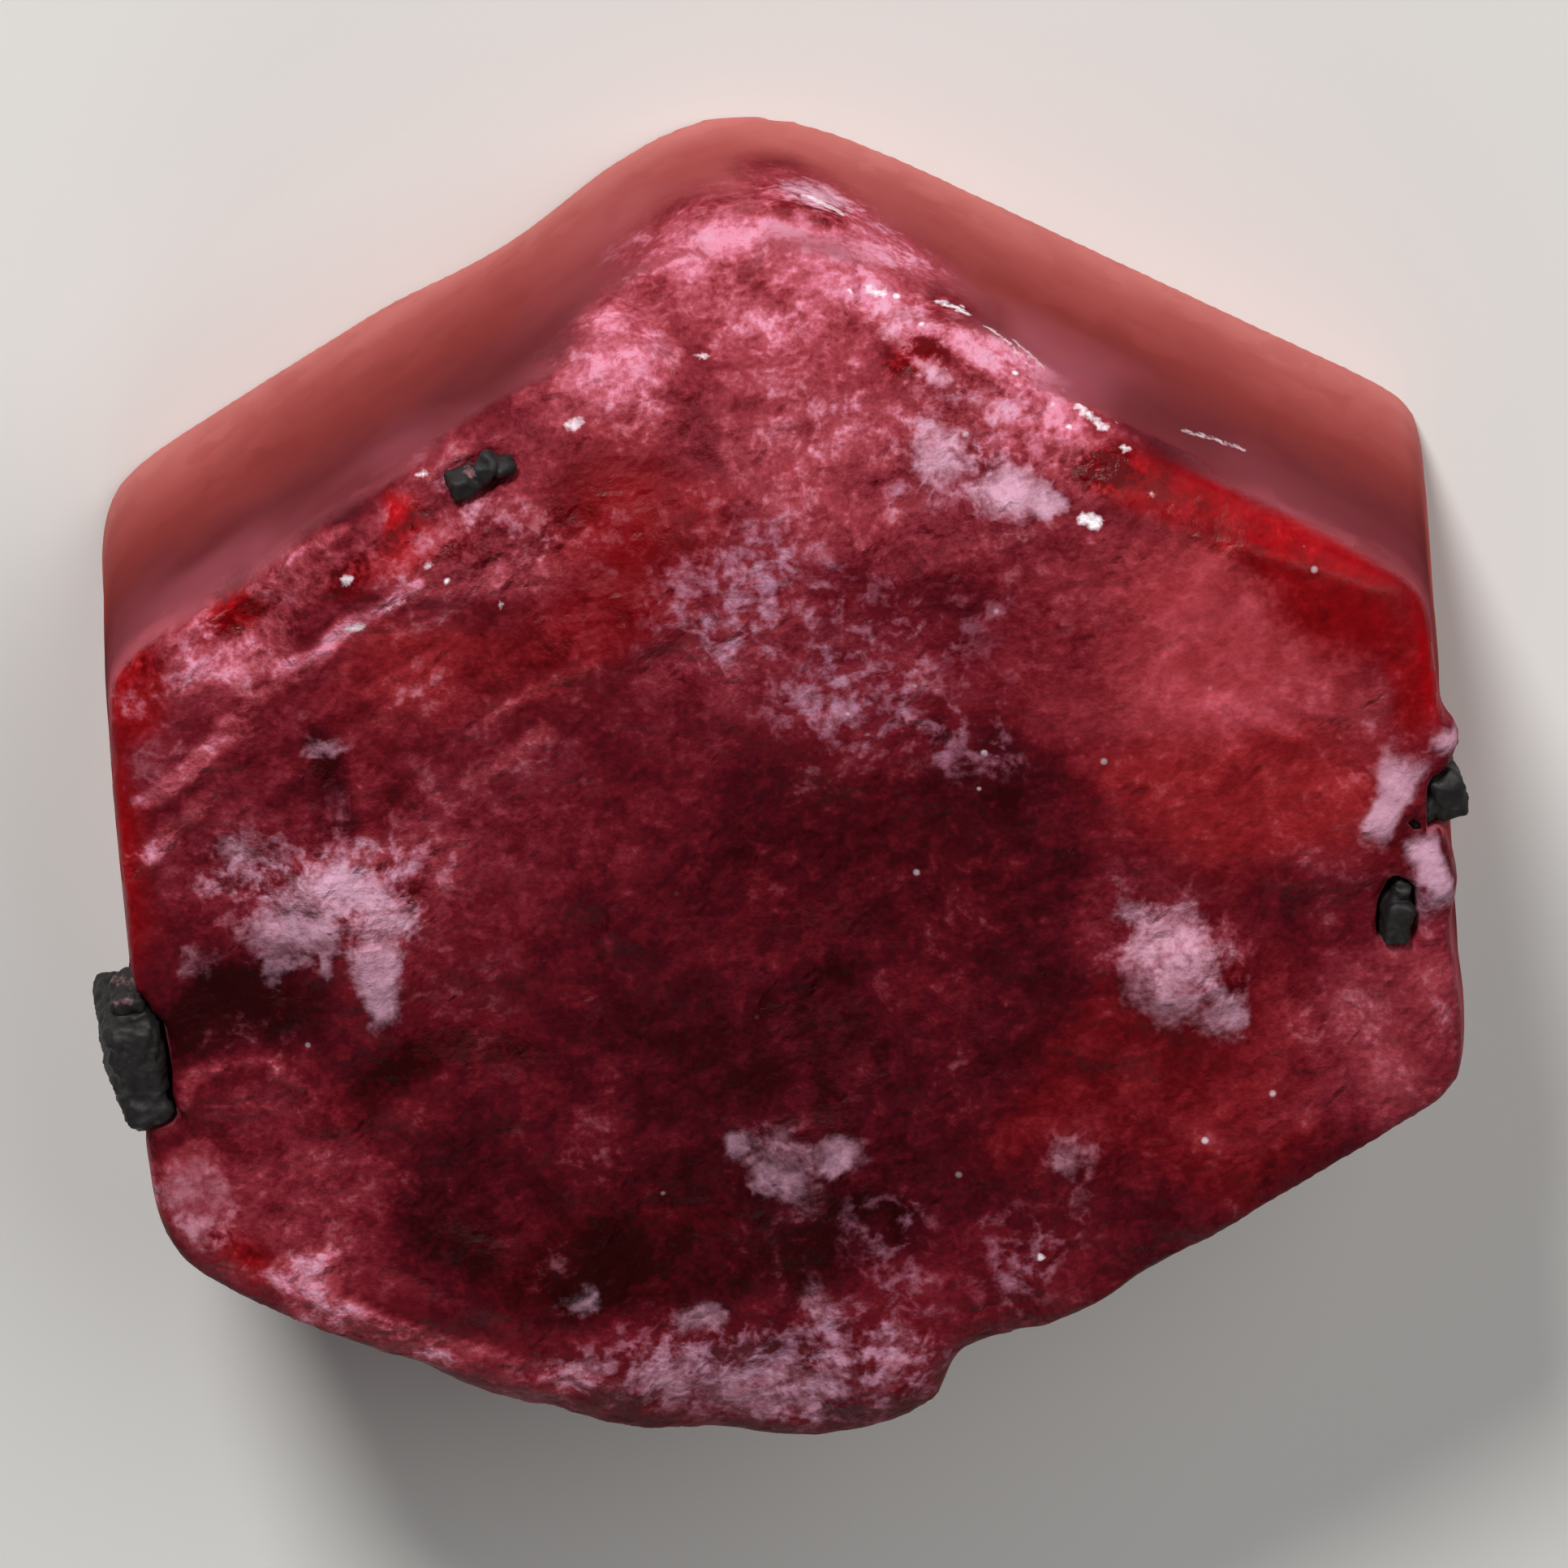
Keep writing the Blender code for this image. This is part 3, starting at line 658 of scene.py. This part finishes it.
def makeRedBeryl():  # clear deep red with milky veils just under the skin
    look = berylLook
    made, tree, output = newMaterial("Red beryl, natural crystal")
    metres = addNode(tree, "ShaderNodeTexCoord").outputs["Object"]
    place = addNode(tree, "ShaderNodeVectorMath", {0: metres, "Scale": 1 / mm}, operation="SCALE")  # in mm
    height = addNode(tree, "ShaderNodeSeparateXYZ", {0: place}).outputs["Z"]
    names = ("white", "cloud", "clear", "dark", "pure", "frost", "even", "paintedGlint", "paintedFlash", "broken", "crumbs",
             "level", "facet")
    white, cloud, clear, dark, pure, frost, even, paintedGlint, paintedFlash, broken, crumbs, level, facet = [
        addNode(tree, "ShaderNodeAttribute", attribute_name=name).outputs["Fac"] for name in names]
    mottle = addNode(tree, "ShaderNodeTexNoise", {
        "Vector": place, "Scale": 1 / look["mottleSize"], "Detail": 4, "Roughness": 0.7})
    fleck = addNode(tree, "ShaderNodeTexNoise", {
        "Vector": place, "Scale": 1 / look["fleckSize"], "Detail": 2, "Roughness": 0.6})

    bend = addNode(tree, "ShaderNodeTexNoise", {"Vector": place, "Scale": 1 / look["mottleSize"], "Detail": 1})
    bent = addNode(tree, "ShaderNodeVectorMath", {
        0: bend.outputs["Color"], 1: [look["chipBend"]] * 3, 2: place}, operation="MULTIPLY_ADD")
    chips = addNode(tree, "ShaderNodeTexNoise", {
        "Vector": bent, "Scale": 1 / look["chipSize"], "Detail": 3, "Roughness": 0.55})
    chip = addNode(tree, "ShaderNodeMapRange", {0: chips, "From Min": 0.46, "From Max": 0.66},
                   interpolation_type="SMOOTHSTEP")  # small soft-edged patches

    # how coarse the skin is: less where it is even, and less where no cloud is
    grain = addNode(tree, "ShaderNodeMapRange", {0: even, "To Min": 1.0, "To Max": 0.4})
    cloudy = addNode(tree, "ShaderNodeMapRange", {0: cloud, "From Max": 0.5, "To Min": 0.5, "To Max": 1.0})
    grain = addNode(tree, "ShaderNodeMath", {0: grain, 1: cloudy}, operation="MULTIPLY")
    fine = addNode(tree, "ShaderNodeMath", {0: mottle, 1: look["mottleShare"], 2: look["centre"]},
                   operation="MULTIPLY_ADD")
    fine = addNode(tree, "ShaderNodeMath", {0: fleck, 1: look["fleckShare"], 2: fine}, operation="MULTIPLY_ADD")
    fine = addNode(tree, "ShaderNodeMath", {0: chip, 1: look["chipShare"], 2: fine}, operation="MULTIPLY_ADD")
    patchy = addNode(tree, "ShaderNodeMath", {0: fine, 1: crumbs}, operation="ADD")
    patchy = addNode(tree, "ShaderNodeMath", {0: patchy, 1: grain}, operation="MULTIPLY")

    milk = addNode(tree, "ShaderNodeMath", {0: cloud, 1: look["cloudMilk"], 2: look["plainMilk"]},
                   operation="MULTIPLY_ADD")
    milk = addNode(tree, "ShaderNodeMath", {0: dark, 1: look["darkMilk"], 2: milk}, operation="MULTIPLY_ADD")
    milk = addNode(tree, "ShaderNodeMath", {0: patchy, 1: look["patchMilk"], 2: milk}, operation="MULTIPLY_ADD")
    milkRamp = addNode(tree, "ShaderNodeValToRGB", {0: milk})

    body = addNode(tree, "ShaderNodeMix", {0: pure, 6: milkRamp, 7: hexToLinear(look["pureTint"])},
                   data_type="RGBA", blend_type="MULTIPLY")

    tornClear = addNode(tree, "ShaderNodeMath", {0: patchy, 1: look["clearTear"], 2: clear},
                        operation="MULTIPLY_ADD")
    clearAmount = addNode(tree, "ShaderNodeMapRange", {0: tornClear, "From Min": 0.1, "From Max": 0.95},
                          interpolation_type="SMOOTHSTEP")
    glow = addNode(tree, "ShaderNodeMapRange", {0: patchy, "From Min": -0.22, "From Max": 0.22})
    deep, bright = [hexToLinear(shade) for shade in look["clearRed"]]
    clearRed = addNode(tree, "ShaderNodeMix", {0: glow, 6: deep, 7: bright}, data_type="RGBA")
    colour = addNode(tree, "ShaderNodeMix", {0: clearAmount, 6: body, 7: clearRed}, data_type="RGBA")

    # frost: lilac dust where the patterns peak, and only in the frost places
    dust = addNode(tree, "ShaderNodeMath", {0: mottle, 1: 1.4}, operation="MULTIPLY")
    dust = addNode(tree, "ShaderNodeMath", {0: chips, 1: 3.0, 2: dust}, operation="MULTIPLY_ADD")
    dust = addNode(tree, "ShaderNodeMath", {0: fleck, 1: 0.6, 2: dust}, operation="MULTIPLY_ADD")
    dust = addNode(tree, "ShaderNodeMath", {0: frost, 1: 0.4, 2: dust}, operation="MULTIPLY_ADD")
    dust = addNode(tree, "ShaderNodeMapRange", {0: dust, "From Min": 2.55, "From Max": 3.65, "To Max": 0.95},
                   interpolation_type="SMOOTHSTEP")
    frostAmount = addNode(tree, "ShaderNodeMath", {0: dust, 1: frost}, operation="MULTIPLY", use_clamp=True)
    colour = addNode(tree, "ShaderNodeMix", {0: frostAmount, 6: colour, 7: hexToLinear(look["lilac"])},
                     data_type="RGBA")

    tornWhite = addNode(tree, "ShaderNodeMath", {0: patchy, 1: look["whiteTear"], 2: white},
                        operation="MULTIPLY_ADD")
    whiteAmount = addNode(tree, "ShaderNodeMapRange", {
        0: tornWhite, "From Min": 0.15, "From Max": 1.35, "To Max": 0.85}, interpolation_type="SMOOTHSTEP")
    colour = addNode(tree, "ShaderNodeMix", {0: whiteAmount, 6: colour, 7: hexToLinear(look["white"])},
                     data_type="RGBA")

    # painted glints: a few tiny pale specks everywhere, many where the glint places are, and pale strokes along
    # the flashes
    specks = addNode(tree, "ShaderNodeTexVoronoi", {"Vector": place, "Scale": 1 / look["glintSpacing"]})
    speckLuck = addNode(tree, "ShaderNodeSeparateColor", {0: specks.outputs["Color"]}).outputs["Green"]
    speckLuck = addNode(tree, "ShaderNodeMath", {0: paintedGlint, 1: 0.55, 2: speckLuck}, operation="MULTIPLY_ADD")
    lucky = addNode(tree, "ShaderNodeMapRange", {0: speckLuck, "From Min": 0.97, "From Max": 1.02})
    spot = addNode(tree, "ShaderNodeMapRange", {
        0: specks.outputs["Distance"], "From Min": 0.19, "From Max": 0.09})
    paintedGlintAmount = addNode(tree, "ShaderNodeMath", {0: lucky, 1: spot}, operation="MULTIPLY")
    paintedGlintAmount = addNode(tree, "ShaderNodeMath", {0: paintedGlintAmount, 1: broken}, operation="MULTIPLY")
    torn = addNode(tree, "ShaderNodeMath", {0: fleck, 1: 0.9, 2: paintedFlash}, operation="MULTIPLY_ADD")
    torn = addNode(tree, "ShaderNodeMapRange", {0: torn, "From Min": 0.85, "From Max": 1.35, "To Max": 0.9})
    paintedGlintAmount = addNode(tree, "ShaderNodeMath", {0: paintedGlintAmount, 1: torn}, operation="MAXIMUM")

    # prism faces: brown-mauve next to the cap, with an orange glow painted in next to the base, where light
    # comes through
    rise = addNode(tree, "ShaderNodeMath", {0: crumbs, 1: 0.9, 2: height}, operation="MULTIPLY_ADD")
    rise = addNode(tree, "ShaderNodeMapRange", {0: rise, "From Min": 0.0, "From Max": look["tall"]})
    wallColourAndGlowRamp = addNode(tree, "ShaderNodeValToRGB", {0: rise})
    for ramp, shades in ((milkRamp, look["milk"]), (wallColourAndGlowRamp, look["wallColourAndGlow"])):
        stops = ramp.color_ramp.elements
        stops.remove(stops[1])
        for position, shade in shades.items():
            stop = stops[0] if position == 0 else stops.new(position)
            stop.color = hexToLinear(shade)
    milkyWall = addNode(tree, "ShaderNodeMath", {0: cloud, 1: 0.45}, operation="MULTIPLY")
    wallColourAndGlow = addNode(tree, "ShaderNodeMix", {0: milkyWall, 6: wallColourAndGlowRamp, 7: hexToLinear(look["wallMilk"])},
                   data_type="RGBA")
    colour = addNode(tree, "ShaderNodeMix", {0: broken, 6: wallColourAndGlow, 7: colour}, data_type="RGBA")
    # the painted glints and flashes laid over the colour in a pale highlight colour; the coat gives them a real
    # shine too
    colour = addNode(tree, "ShaderNodeMix", {0: paintedGlintAmount, 6: colour, 7: hexToLinear(look["paintedGlint"])},
                     data_type="RGBA")

    # light goes in only where it is clear and level, and not through white, frost or glints
    opaque = addNode(tree, "ShaderNodeMath", {0: whiteAmount, 1: frostAmount}, operation="MAXIMUM")
    opaque = addNode(tree, "ShaderNodeMath", {0: opaque, 1: paintedGlintAmount}, operation="MAXIMUM")
    seeThrough = addNode(tree, "ShaderNodeMath", {0: clearAmount, 1: look["seeThrough"]}, operation="MULTIPLY")
    seeThrough = addNode(tree, "ShaderNodeMath", {0: seeThrough, 1: opaque}, operation="SUBTRACT",
                         use_clamp=True)
    seeThrough = addNode(tree, "ShaderNodeMath", {0: seeThrough, 1: level}, operation="MULTIPLY")
    smoothest, roughest = look["roughness"]
    rough = addNode(tree, "ShaderNodeMapRange", {
        0: mottle, "From Min": 0.3, "From Max": 0.7, "To Min": smoothest, "To Max": roughest})
    rough = addNode(tree, "ShaderNodeMath", {0: opaque, 1: 0.2, 2: rough}, operation="MULTIPLY_ADD")
    rough = addNode(tree, "ShaderNodeMath", {0: clearAmount, 1: -0.2, 2: rough}, operation="MULTIPLY_ADD")
    relief = addNode(tree, "ShaderNodeMath", {0: fleck, 1: look["skinHeight"], 2: facet},
                     operation="MULTIPLY_ADD")  # in millimetres
    skinned = addNode(tree, "ShaderNodeMapRange", {0: clear, "To Min": 1.0, "To Max": 0.3})  # less where clear
    for share in (broken, grain, skinned):
        relief = addNode(tree, "ShaderNodeMath", {0: relief, 1: share}, operation="MULTIPLY")
    bump = addNode(tree, "ShaderNodeBump", {"Height": relief, "Strength": look["skinDepth"], "Distance": mm})
    shader = addNode(tree, "ShaderNodeBsdfPrincipled", {
        "Base Color": colour, "Roughness": rough, "IOR": look["ior"], "Specular IOR Level": look["gloss"],
        "Transmission Weight": seeThrough, "Subsurface Weight": 0.0, "Subsurface Radius": (1.0, 0.25, 0.2),
        "Subsurface Scale": look["scatterReach"] * mm, "Normal": bump, "Coat Weight": paintedGlintAmount,
        "Coat Roughness": 0.12, "Coat Normal": bump})
    absorb = addNode(tree, "ShaderNodeVolumeAbsorption", {"Color": hexToLinear(look["absorb"]),
                                                          "Density": look["absorbDensity"]})
    tree.links.new(shader.outputs[0], output.inputs["Surface"])
    tree.links.new(absorb.outputs[0], output.inputs["Volume"])
    return made


grainLook = {
    "dark": "131416",
    "brown": "221A17",
    "crumbs": "A87078",
    "roughness": 0.62,
    "metallic": 0.2,
    "speckleSize": 0.07,
}


def makeBixbyite():  # black manganese iron oxide with a dull metal shine, brown where it is weathered
    look = grainLook
    made, tree, output = newMaterial("Bixbyite, natural black oxide")
    place = addNode(tree, "ShaderNodeTexCoord").outputs["Object"]
    speckle = addNode(tree, "ShaderNodeTexNoise", {
        "Vector": place, "Scale": 1 / (look["speckleSize"] * mm), "Detail": 4})
    tint = addNode(tree, "ShaderNodeMix", {
        0: speckle, 6: hexToLinear(look["dark"]), 7: hexToLinear(look["brown"])}, data_type="RGBA")
    dust = addNode(tree, "ShaderNodeAttribute", attribute_name="dust").outputs["Fac"]
    dust = addNode(tree, "ShaderNodeMath", {0: speckle, 1: 1.5, 2: dust}, operation="MULTIPLY_ADD")
    dust = addNode(tree, "ShaderNodeMapRange", {0: dust, "From Min": 1.1, "From Max": 1.6})
    tint = addNode(tree, "ShaderNodeMix", {0: dust, 6: tint, 7: hexToLinear(look["crumbs"])}, data_type="RGBA")
    metal = addNode(tree, "ShaderNodeMapRange", {0: dust, "To Min": look["metallic"], "To Max": 0.0})
    bump = addNode(tree, "ShaderNodeBump", {"Height": speckle, "Strength": 0.3, "Distance": 0.03 * mm})
    shader = addNode(tree, "ShaderNodeBsdfPrincipled", {
        "Base Color": tint, "Roughness": look["roughness"], "Metallic": metal, "Normal": bump})
    tree.links.new(shader.outputs[0], output.inputs["Surface"])
    return made


redBeryl = makeRedBeryl()
frostedBeryl = redBeryl.copy()  # the prism faces: the same stone with a frosted skin
frostedBeryl.name = "Red beryl, frosted prism faces"
frostedSkin = frostedBeryl.node_tree.nodes["Principled BSDF"].inputs
frostedSkin["Specular IOR Level"].default_value = berylLook["wallGloss"]
frostedSkin["Subsurface Weight"].default_value = berylLook["wallScatter"]
bixbyite = makeBixbyite()
crystal.data.materials.append(redBeryl)
crystal.data.materials.append(frostedBeryl)


def frostPrismFaces(piece):  # steep faces get the second material
    slots = [1 if face.normal.z < 0.25 else 0 for face in piece.data.polygons]
    piece.data.polygons.foreach_set("material_index", slots)
    piece.data.update()


frostPrismFaces(crystal)
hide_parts("beryl_crystal")
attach(crystal, "root")
for nodeName, piece in grains.items():
    piece.data.materials.append(bixbyite)
    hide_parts(nodeName)
    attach(piece, "root")
print("materials assigned")


studio = {
    "floorSide": 600,
    "floorColour": "E4E2DE",
    "keyPlace": (-30, 122, 100),
    "keySize": 36,
    "keyPower": 0.215,
    "fillPlace": (105, 95, 140),
    "fillSize": 180,
    "fillPower": 0.185,
    "frontPlace": (-20, -90, 24),
    "frontSize": 60,
    "frontPower": 0.020,
    "worldColour": "DDE0E6",
    "worldStrength": 0.06,
}

view = {
    "target": (0.054, -0.73, 0.0),
    "distance": 94.2,
    "lean": 23.19,  # degrees from straight above
    "turn": 1.363,  # degrees, towards +X
    "roll": -3.685,
    "lens": 287.4,
}


def makeFloor():
    bpy.ops.object.select_all(action="DESELECT")
    bpy.ops.mesh.primitive_plane_add(size=studio["floorSide"] * mm, location=(0, 0, 0))
    floor = bpy.context.active_object
    floor.name = "floor"
    made, tree, output = newMaterial("Matt pale table")
    shader = addNode(tree, "ShaderNodeBsdfPrincipled", {
        "Base Color": hexToLinear(studio["floorColour"]), "Roughness": 0.7})
    tree.links.new(shader.outputs[0], output.inputs["Surface"])
    floor.data.materials.append(made)


def addSoftLight(name, place, size, power):
    bpy.ops.object.light_add(type="AREA", location=[v * mm for v in place])
    light = bpy.context.active_object
    light.name = name
    light.data.shape = "DISK"
    light.data.size = size * mm
    light.data.energy = power
    light.rotation_euler = (-Vector(place)).to_track_quat("-Z", "Y").to_euler()


def makeWorld():
    world = bpy.data.worlds.new("soft room light")
    world.use_nodes = True
    backdrop = world.node_tree.nodes["Background"]
    backdrop.inputs["Color"].default_value = hexToLinear(studio["worldColour"])
    backdrop.inputs["Strength"].default_value = studio["worldStrength"]
    bpy.context.scene.world = world


def makeCamera():
    lean, turn = math.radians(view["lean"]), math.radians(view["turn"])
    towards = Vector((math.sin(turn) * math.sin(lean), math.cos(turn) * math.sin(lean), math.cos(lean)))
    right = Vector((0, 1, 0)).cross(towards).normalized()
    upright = Matrix((right, towards.cross(right), towards)).transposed()
    turned = Matrix.Rotation(math.radians(view["roll"]), 3, towards) @ upright
    place = (Vector(view["target"]) + towards * view["distance"]) * mm
    bpy.ops.object.camera_add(location=place, rotation=turned.to_euler())
    camera = bpy.context.active_object
    camera.data.lens = view["lens"]
    camera.data.clip_start = 1 * mm
    bpy.context.scene.camera = camera
    bpy.context.scene.view_settings.view_transform = "Standard"  # keeps deep reds as they are


makeFloor()
addSoftLight("key light", studio["keyPlace"], studio["keySize"], studio["keyPower"])
addSoftLight("fill light", studio["fillPlace"], studio["fillSize"], studio["fillPower"])
addSoftLight("front light", studio["frontPlace"], studio["frontSize"], studio["frontPower"])
makeWorld()
makeCamera()
print("floor, lights and camera placed")
